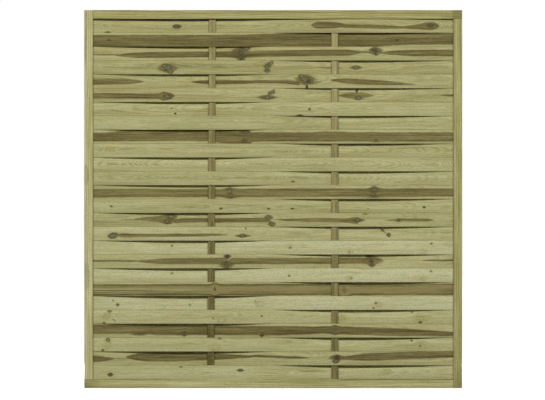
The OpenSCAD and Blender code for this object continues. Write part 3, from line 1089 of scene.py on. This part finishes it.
@dataclass
class WovenSlats:
    """The slats, each bent past both battens and seated in the frame's grooves.

    Attributes:
        finish: Makes the timber.
        rows: Number of slats.
        thickness: Thickness of a slat.
        ease: Rounding of its long edges.
        weave_gap: Play between a slat and the middle of a batten.
        tip_off: How far a slat's tip lies off the panel's middle plane.
        closing: How much taller a slat looks than its solid, so that it meets its neighbours.
        waver: How far a sawn face strays from true.
        steps: Number of points along a slat.
    """

    finish: TimberFinish
    rows: int = 26
    thickness: float = 7 * MM
    ease: float = 1.3 * MM
    weave_gap: float = 0.4 * MM
    tip_off: float = 0.36 * MM
    closing: float = 0.5 * MM
    waver: float = 0.12 * MM
    steps: int = 200

    INPUTS = (
        ("Tip Left", "NodeSocketFloat"), ("Batten Left", "NodeSocketFloat"),
        ("Batten Right", "NodeSocketFloat"), ("Tip Right", "NodeSocketFloat"),
        ("Tip Offset", "NodeSocketFloat"), ("Bow", "NodeSocketFloat"),
        ("Curvature Left", "NodeSocketFloat"), ("Curvature Right", "NodeSocketFloat"),
        ("Middle Height", "NodeSocketFloat"), ("Slat Height", "NodeSocketFloat"),
        ("Slat Thickness", "NodeSocketFloat"), ("Edge Rounding", "NodeSocketFloat"),
        ("Waver", "NodeSocketFloat"), ("Steps", "NodeSocketInt"), ("Seed", "NodeSocketInt"),
        ("Material", "NodeSocketMaterial"))

    def build(self) -> List[bpy.types.Object]:
        """Make, dress and place every slat.

        Returns:
            The slats from the top down.
        """
        tree = self._tree()
        slats = []
        for row, board in enumerate(slat_boards(), start=1):
            node = f"slat_{row:02d}"
            piece = tree.run(f"woven_{node}", self._values(row, node, board))
            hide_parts(node)
            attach(piece, ROOT)
            slats.append(piece)
        return slats

    def _values(self, row: int, node: str, board: Board) -> Dict[str, Any]:
        """Find what the tree needs for one slat, from the boxes of the solids that hold it.

        Args:
            row: Number of the slat from the top.
            node: Name of its solid.
            board: Its looks.

        Returns:
            The tree's inputs by name.
        """
        low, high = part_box(node)
        middle = (low.z + high.z) / 2
        left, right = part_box("left_batten"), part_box("right_batten")
        lean = (left[1].x - left[0].x) - (right[1].x - right[0].x)
        opening = left[1].z - left[0].z
        supports = (low.x, (left[0].x + left[1].x) / 2 + lean * middle / opening,
                    (right[0].x + right[1].x) / 2, high.x)
        side = 1 if row % 2 else -1
        bow = side * ((right[1].y - right[0].y + self.thickness) / 2 + self.weave_gap)
        tip = side * self.tip_off
        curvature = bend_curvature(supports, (tip, bow, -bow, -tip))
        return {
            "Tip Left": supports[0], "Batten Left": supports[1], "Batten Right": supports[2],
            "Tip Right": supports[3], "Tip Offset": tip, "Bow": bow,
            "Curvature Left": curvature[0], "Curvature Right": curvature[1],
            "Middle Height": middle, "Slat Height": high.z - low.z + self.closing,
            "Slat Thickness": self.thickness - 2 * self.waver, "Edge Rounding": self.ease,
            "Waver": self.waver, "Steps": self.steps, "Seed": board.seed,
            "Material": self.finish.material(board)}

    def _tree(self) -> GeometryTree:
        """Build the tree that makes one slat: a straight board with eased edges, then its bend."""
        tree = GeometryTree("Woven slat", self.INPUTS)
        wiring = tree.wiring
        height = tree.term("Middle Height")

        line = wiring.node("GeometryNodeCurvePrimitiveLine")
        wiring.feed(line.inputs["Start"], wiring.vector(tree.term("Tip Left"), 0.0, height))
        wiring.feed(line.inputs["End"], wiring.vector(tree.term("Tip Right"), 0.0, height))
        path = wiring.node("GeometryNodeResampleCurve")
        wiring.feed(path.inputs["Curve"], line.outputs[0])
        wiring.feed(path.inputs["Count"], tree.term("Steps"))

        section = wiring.node("GeometryNodeCurvePrimitiveQuadrilateral")
        wiring.feed(section.inputs["Width"], tree.term("Slat Thickness"))
        wiring.feed(section.inputs["Height"], tree.term("Slat Height"))
        eased = wiring.node("GeometryNodeFilletCurve", mode="POLY")
        wiring.feed(eased.inputs["Curve"], section.outputs[0])
        wiring.feed(eased.inputs["Count"], 3)
        wiring.feed(eased.inputs["Radius"], tree.term("Edge Rounding"))

        board = wiring.node("GeometryNodeCurveToMesh")
        wiring.feed(board.inputs["Curve"], path.outputs[0])
        wiring.feed(board.inputs["Profile Curve"], eased.outputs[0])
        wiring.feed(board.inputs["Fill Caps"], True)

        x, y, z = wiring.parts(wiring.node("GeometryNodeInputPosition").outputs[0])
        kept = wiring.node("GeometryNodeStoreNamedAttribute", data_type="FLOAT_VECTOR", domain="POINT")
        wiring.feed(kept.inputs["Geometry"], board.outputs[0])
        wiring.feed(kept.inputs["Name"], TimberFinish.BOARD_ATTRIBUTE)
        wiring.feed(kept.inputs["Value"], wiring.vector(x, y, z - height))

        wave = wiring.noise(x / 0.16, z / 0.09, tree.term("Seed"), 2.0) * tree.term("Waver")
        bent = wiring.node("GeometryNodeSetPosition")
        wiring.feed(bent.inputs["Geometry"], kept.outputs[0])
        wiring.feed(bent.inputs["Offset"], wiring.vector(0.0, self._bend(tree, x) + wave, 0.0))
        tree.close(bent.outputs[0])
        return tree

    def _bend(self, tree: GeometryTree, x: Term) -> Term:
        """Work out the bend at a place along the slat: one cubic for each span.

        Args:
            tree: The tree with the supports among its inputs.
            x: Place along the slat.

        Returns:
            How far the slat's middle lies off the panel's middle plane.
        """
        names = ("Tip Left", "Batten Left", "Batten Right", "Tip Right")
        places = [tree.term(name) for name in names]
        tip, bow = tree.term("Tip Offset"), tree.term("Bow")
        offsets = (tip, bow, -bow, -tip)
        curvatures: Tuple[Value, ...] = (
            0.0, tree.term("Curvature Left"), tree.term("Curvature Right"), 0.0)
        spans = []
        for index in range(3):
            length = places[index + 1] - places[index]
            share = (x - places[index]) / length
            rest = 1.0 - share
            chord = rest * offsets[index] + share * offsets[index + 1]
            sag = (rest * rest * rest - rest) * curvatures[index] \
                + (share * share * share - share) * curvatures[index + 1]
            spans.append(chord + sag * length * length / 6.0)
        in_first, in_second = x.below(places[1]), x.below(places[2])
        later = in_second * spans[1] + (1.0 - in_second) * spans[2]
        return in_first * spans[0] + (1.0 - in_first) * later


@dataclass
class Brads:
    """The brads that pin each slat to the battens, two where it passes one.

    Attributes:
        finish: The steel's finish.
        head: Radius of a head.
        rise: How far a head stands proud of the slat.
        inset: How far a brad sits from the slat's long edge.
        stray: How far a brad strays from its line.
    """

    finish: BradFinish
    head: float = 1.5 * MM
    rise: float = 0.25 * MM
    inset: float = 11 * MM
    stray: float = 1.6 * MM

    INPUTS = (
        ("First Place", "NodeSocketVector"), ("Step", "NodeSocketVector"), ("Count", "NodeSocketInt"),
        ("Half Spread", "NodeSocketFloat"), ("Head Radius", "NodeSocketFloat"),
        ("Head Height", "NodeSocketFloat"), ("Stray", "NodeSocketFloat"), ("Turn", "NodeSocketFloat"),
        ("Seed", "NodeSocketInt"), ("Material", "NodeSocketMaterial"))

    def build(self, slats: WovenSlats) -> List[bpy.types.Object]:
        """Make the brads of each batten, seen from the front and from the back.

        Args:
            slats: The slats that they pin.

        Returns:
            Four pieces: left and right batten, front and back.
        """
        tree = self._tree()
        material = self.finish.material()
        pieces = []
        runs = (("left", "front", 2), ("left", "back", 1), ("right", "front", 1), ("right", "back", 2))
        for seed, (batten, face, row) in enumerate(runs, start=1):
            values = self._values(slats, f"{batten}_batten", face, row)
            values.update({"Seed": seed, "Material": material})
            piece = tree.run(f"brads_{batten}_{face}", values)
            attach(piece, ROOT)
            pieces.append(piece)
        return pieces

    def _values(self, slats: WovenSlats, batten: str, face: str, row: int) -> Dict[str, Any]:
        """Find where one run of brads starts and how it steps down the panel.

        Args:
            slats: The slats that the brads pin.
            batten: Node of the batten behind them.
            face: The panel's face that shows them, front or back.
            row: First slat that passes the batten on that side.

        Returns:
            The tree's inputs by name.
        """
        low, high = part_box(f"slat_{row:02d}")
        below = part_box(f"slat_{row + 2:02d}")
        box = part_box(batten)
        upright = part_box("right_batten")
        lean = (box[1].x - box[0].x) - (upright[1].x - upright[0].x)
        drop = (below[0].z - low.z)
        top = (low.z + high.z) / 2
        tilt = lean / (box[1].z - box[0].z)
        outwards = -1 if face == "front" else 1
        surface = (box[1].y - box[0].y) / 2 + slats.weave_gap + slats.thickness
        return {
            "First Place": ((box[0].x + box[1].x) / 2 + tilt * top, outwards * surface, top),
            "Step": (tilt * drop, 0.0, drop), "Count": slats.rows // 2,
            "Half Spread": (high.z - low.z) / 2 - self.inset, "Head Radius": self.head,
            "Head Height": 2 * self.rise, "Stray": self.stray,
            "Turn": math.radians(90 * -outwards)}

    def _tree(self) -> GeometryTree:
        """Build the tree that sets a low, tapered head at every brad's place."""
        tree = GeometryTree("Brads", self.INPUTS)
        wiring = tree.wiring
        spread = tree.term("Half Spread")
        both = wiring.node("GeometryNodeJoinGeometry")
        for sign in (1.0, -1.0):
            shift = wiring.node("ShaderNodeVectorMath", operation="ADD")
            wiring.feed(shift.inputs[0], tree.entry.outputs["First Place"])
            wiring.feed(shift.inputs[1], wiring.vector(0.0, 0.0, spread * sign))
            line = wiring.node("GeometryNodeMeshLine", mode="OFFSET")
            wiring.feed(line.inputs["Count"], tree.term("Count"))
            wiring.feed(line.inputs["Start Location"], shift.outputs[0])
            wiring.feed(line.inputs["Offset"], tree.entry.outputs["Step"])
            wiring.feed(both.inputs[0], line.outputs[0])

        chance = wiring.node("FunctionNodeRandomValue", data_type="FLOAT_VECTOR")
        chance.inputs[0].default_value = (-1.0, 0.0, -1.0)
        chance.inputs[1].default_value = (1.0, 0.0, 1.0)
        wiring.feed(chance.inputs["Seed"], tree.entry.outputs["Seed"])
        scaled = wiring.node("ShaderNodeVectorMath", operation="SCALE")
        wiring.feed(scaled.inputs[0], chance.outputs[0])
        wiring.feed(scaled.inputs["Scale"], tree.term("Stray"))
        strayed = wiring.node("GeometryNodeSetPosition")
        wiring.feed(strayed.inputs["Geometry"], both.outputs[0])
        wiring.feed(strayed.inputs["Offset"], scaled.outputs[0])

        head = wiring.node("GeometryNodeMeshCone", fill_type="NGON")
        wiring.feed(head.inputs["Vertices"], 12)
        wiring.feed(head.inputs["Radius Top"], tree.term("Head Radius") * 0.7)
        wiring.feed(head.inputs["Radius Bottom"], tree.term("Head Radius"))
        wiring.feed(head.inputs["Depth"], tree.term("Head Height"))
        turned = wiring.node("GeometryNodeTransform")
        wiring.feed(turned.inputs["Geometry"], head.outputs[0])
        wiring.feed(turned.inputs["Rotation"], wiring.vector(tree.term("Turn"), 0.0, 0.0))
        placed = wiring.node("GeometryNodeInstanceOnPoints")
        wiring.feed(placed.inputs["Points"], strayed.outputs[0])
        wiring.feed(placed.inputs["Instance"], turned.outputs[0])
        tree.close(placed.outputs[0])
        return tree


@dataclass
class GroovedFrame:
    """The four frame members and the two battens, whose solids show as they are."""

    finish: TimberFinish

    def build(self) -> List[bpy.types.Object]:
        """Dress each member with its own board.

        Returns:
            The dressed objects.
        """
        dressed = []
        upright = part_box("right_batten")
        batten_width = upright[1].x - upright[0].x
        for node, look in self._looks(batten_width / 2 / MM).items():
            low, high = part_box(node)
            middle = (low + high).x / 2 if look["run"] is Run.ALONG_Z else (low + high).z / 2
            lean = (high.x - low.x - batten_width) / (high.z - low.z) if node == "left_batten" else 0.0
            material = self.finish.material(
                Board(name=f"{node}_timber", middle=middle, lean=lean, **look))
            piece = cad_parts[node]
            piece.data.materials.clear()
            piece.data.materials.append(material)
            dressed.append(piece)
        return dressed

    def _looks(self, batten_half: float) -> Dict[str, Dict[str, Any]]:
        """List the looks of the frame members and battens.

        Args:
            batten_half: Half a batten's width in mm.

        Returns:
            What each member's board takes, by node.
        """
        rift = Figure(pith_across=34, pith_depth=30, taper=8, swing=8, spacing=7, contrast=0.45)
        stile = dict(palette=FRAME_WOOD, run=Run.ALONG_Z, figure=rift, half=21.5, half_depth=21.5,
                     soiled_shaded_width=3.0)
        rail = dict(stile, run=Run.ALONG_X, soiled_shaded_width=2.0)
        batten = dict(palette=BATTEN_WOOD, run=Run.ALONG_Z, half=batten_half, half_depth=6.5, soiled_shaded_width=2.4,
                      salts=0.1, fade=0.26, figure=replace(rift, contrast=0.2))
        return {
            "left_stile": dict(stile, seed=41, tone=0.24, streaks=(
                Streak(60, 170, -12, 13, lead=60, tail=60, strength=0.3),
                Streak(-440, -300, -10, 14, lead=60, tail=60, strength=0.3),
                Streak(650, 1200, -16, 10, lead=120, strength=0.3),
                # The long streak along the inner edge is painted shade where the slats meet the stile.
                Streak(-900, 900, 20, 3, strength=0.35))),
            "right_stile": dict(stile, seed=42, tone=-0.04, streaks=(
                Streak(-2000, -760, 0, 400, tail=1100, strength=0.5),
                # The long streak along the inner edge is painted shade where the slats meet the stile.
                Streak(-900, 900, -20, 3, strength=0.3))),
            "top_rail": dict(rail, seed=43, tone=-0.06, streaks=(
                Streak(20, 330, 21, 5, tail=200, strength=0.8),
                Streak(412, 1100, 0, 400, lead=5, tail=600, strength=0.14),
                Streak(1745, 3000, 0, 400, lead=130, strength=0.6))),
            "bottom_rail": dict(rail, seed=44, tone=0.15, streaks=(
                Streak(-900, 95, 0, 400, tail=800, strength=0.6),
                # The two streaks along the top edge are painted shade where the slats meet the rail.
                Streak(60, 620, 22, 4, lead=80, tail=260, strength=0.5),
                Streak(1170, 1770, 22, 5, lead=90, tail=20, strength=0.85))),
            "left_batten": dict(batten, seed=45, tone=-0.2),
            "right_batten": dict(batten, seed=46, tone=-0.06),
        }


@dataclass(frozen=True)
class PhotoView:
    """The camera, square on to the panel, as far off as the photo's flat look asks.

    Attributes:
        image_width: Width of the photograph in pixels.
        image_height: Height of the photograph in pixels.
        panel_left: Pixel of the panel's left edge.
        panel_right: Pixel of its right edge.
        panel_top: Pixel of its top edge.
        panel_bottom: Pixel of its bottom edge.
        distance: Distance from the panel's front to the camera.
        sensor: Width of the camera's sensor in mm.
    """

    image_width: float = 545.0
    image_height: float = 400.0
    panel_left: float = 84.7
    panel_right: float = 461.7
    panel_top: float = 9.6
    panel_bottom: float = 388.6
    distance: float = 80.0
    sensor: float = 36.0

    def build(self, bounds: Tuple[Vector, Vector]) -> bpy.types.Object:
        """Place the camera so that the panel fills the same pixels as in the photograph.

        Args:
            bounds: Lowest and highest corner of the panel.

        Returns:
            The camera.
        """
        low, high = bounds
        wide = (high.x - low.x) / (self.panel_right - self.panel_left)
        tall = (high.z - low.z) / (self.panel_bottom - self.panel_top)
        pixel = (wide + tall) / 2
        off_right = (self.panel_left + self.panel_right - self.image_width) / 2
        off_down = (self.panel_top + self.panel_bottom - self.image_height) / 2
        data = bpy.data.cameras.new("photo_view")
        data.sensor_width = self.sensor
        data.lens = self.sensor * self.distance / (pixel * self.image_width)
        data.clip_end = 200.0
        camera = bpy.data.objects.new("photo_view", data)
        camera.location = ((low.x + high.x) / 2 - off_right * pixel, low.y - self.distance,
                           (low.z + high.z) / 2 + off_down * pixel)
        camera.rotation_euler = (math.radians(90), 0.0, 0.0)
        bpy.context.collection.objects.link(camera)
        bpy.context.scene.camera = camera
        return camera


@dataclass(frozen=True)
class SoftBox:
    """One soft lamp, aimed at the panel's middle.

    Attributes:
        name: The lamp's name.
        azimuth: Degrees round from the front, to the right where positive.
        elevation: Degrees above the level.
        width: Width of the lamp.
        height: Height of the lamp.
        level: Light that it gives, where 1 shows a colour about as it is written.
        distance: Distance from the panel's middle.
    """

    name: str
    azimuth: float
    elevation: float
    width: float
    height: float
    level: float
    distance: float = 12.0

    def build(self, target: Vector) -> bpy.types.Object:
        """Place the lamp.

        Args:
            target: The point that it is aimed at.

        Returns:
            The lamp.
        """
        data = bpy.data.lights.new(self.name, "AREA")
        data.shape = "RECTANGLE"
        data.size = self.width
        data.size_y = self.height
        data.energy = self.level * (math.pi * self.distance) ** 2
        lamp = bpy.data.objects.new(self.name, data)
        turn, rise = math.radians(self.azimuth), math.radians(self.elevation)
        away = Vector((math.sin(turn) * math.cos(rise), -math.cos(turn) * math.cos(rise), math.sin(rise)))
        lamp.location = target + away * self.distance
        lamp.rotation_euler = away.to_track_quat("Z", "Y").to_euler()
        bpy.context.collection.objects.link(lamp)
        return lamp


@dataclass(frozen=True)
class Studio:
    """Floor, white surroundings and soft lamps.

    Attributes:
        ambient: Light from all round, where 1 is white.
        floor_reach: Half the floor's width.
        floor_lift: How much brighter the floor looks to the camera than its shading.
        floor_pale: How pale the floor is to the eye.
        floor_bounce: How pale it is to the light that it throws back at the panel.
        lamps: The lamps.
    """

    ambient: float = 0.04
    floor_reach: float = 120.0
    floor_lift: float = 0.46
    floor_pale: float = 0.8
    floor_bounce: float = 0.1
    lamps: Tuple[SoftBox, ...] = (
        SoftBox("key_left", azimuth=-18, elevation=27, width=3.0, height=0.8, level=0.52),
        SoftBox("key_right", azimuth=18, elevation=27, width=3.0, height=0.8, level=0.52),
        SoftBox("back_fill", azimuth=180, elevation=12, width=6.0, height=4.0, level=0.6),
        SoftBox("left_fill", azimuth=-103, elevation=15, width=3.0, height=3.0, level=0.35),
        SoftBox("right_fill", azimuth=103, elevation=15, width=3.0, height=3.0, level=0.35),
    )

    def build(self, bounds: Tuple[Vector, Vector]) -> None:
        """Make the studio round the panel.

        Args:
            bounds: Lowest and highest corner of the panel.
        """
        low, high = bounds
        self._world()
        self._floor(low.z - 0.5 * MM)
        for lamp in self.lamps:
            lamp.build((low + high) / 2)

    def _seen(self, wiring: Wiring) -> Term:
        """Give 1 where the camera sees a surface, itself or in a mirror or through glass."""
        path = wiring.node("ShaderNodeLightPath")
        camera, glossy, through = (
            Term(wiring, path.outputs[name])
            for name in ("Is Camera Ray", "Is Glossy Ray", "Is Transmission Ray"))
        return camera.most(glossy).most(through)

    def _world(self) -> None:
        """Make the surroundings white to the eye and a soft even light to the panel."""
        world = bpy.data.worlds.new("white_studio")
        world.use_nodes = True
        bpy.context.scene.world = world
        wiring = Wiring(world.node_tree)
        background = world.node_tree.nodes["Background"]
        background.inputs["Color"].default_value = (1.0, 1.0, 1.0, 1.0)
        strength = self._seen(wiring) * (1.0 - self.ambient) + self.ambient
        wiring.feed(background.inputs["Strength"], strength)

    def _floor(self, height: float) -> None:
        """Lay the pale floor, which looks white where no shadow falls.

        Args:
            height: Height of the floor.
        """
        reach = self.floor_reach
        mesh = bpy.data.meshes.new("floor")
        mesh.from_pydata([(-reach, -reach, height), (reach, -reach, height), (reach, reach, height),
                          (-reach, reach, height)], [], [(0, 1, 2, 3)])
        floor = bpy.data.objects.new("floor", mesh)
        bpy.context.collection.objects.link(floor)
        material = bpy.data.materials.new("pale_floor")
        material.use_nodes = True
        wiring = Wiring(material.node_tree)
        shader = material.node_tree.nodes["Principled BSDF"]
        seen = self._seen(wiring)
        pale, bounce = (self.floor_pale,) * 3, (self.floor_bounce,) * 3
        wiring.feed(shader.inputs["Base Color"], wiring.blend(seen, bounce, pale))
        shader.inputs["Roughness"].default_value = 0.9
        shader.inputs["Emission Color"].default_value = (1.0, 1.0, 1.0, 1.0)
        x, y, _ = wiring.parts(wiring.node("ShaderNodeTexCoord").outputs["Object"])
        far = wiring.ramp(((x - 0.9) ** 2.0 + y ** 2.0).root(), 1.5, 7.0)
        lift = self.floor_lift + far * (1.0 - self.floor_lift)
        wiring.feed(shader.inputs["Emission Strength"], seen * lift)
        mesh.materials.append(material)


def main() -> None:
    """Build the view, the studio and every piece of the panel in turn."""
    logging.basicConfig(level=logging.INFO, format="%(name)s: %(message)s")
    bpy.context.scene.view_settings.view_transform = "Standard"
    PhotoView().build(CAD_BOUNDS)
    Studio().build(CAD_BOUNDS)
    timber = TimberFinish()
    slats = WovenSlats(timber)
    for piece in GroovedFrame(timber).build():
        LOG.info("%s dressed", piece.name)
    for piece in slats.build():
        LOG.info("%s made, %d faces", piece.name, len(piece.data.polygons))
    for piece in Brads(BradFinish()).build(slats):
        LOG.info("%s made, %d faces", piece.name, len(piece.data.polygons))


if __name__ == "__main__":
    main()
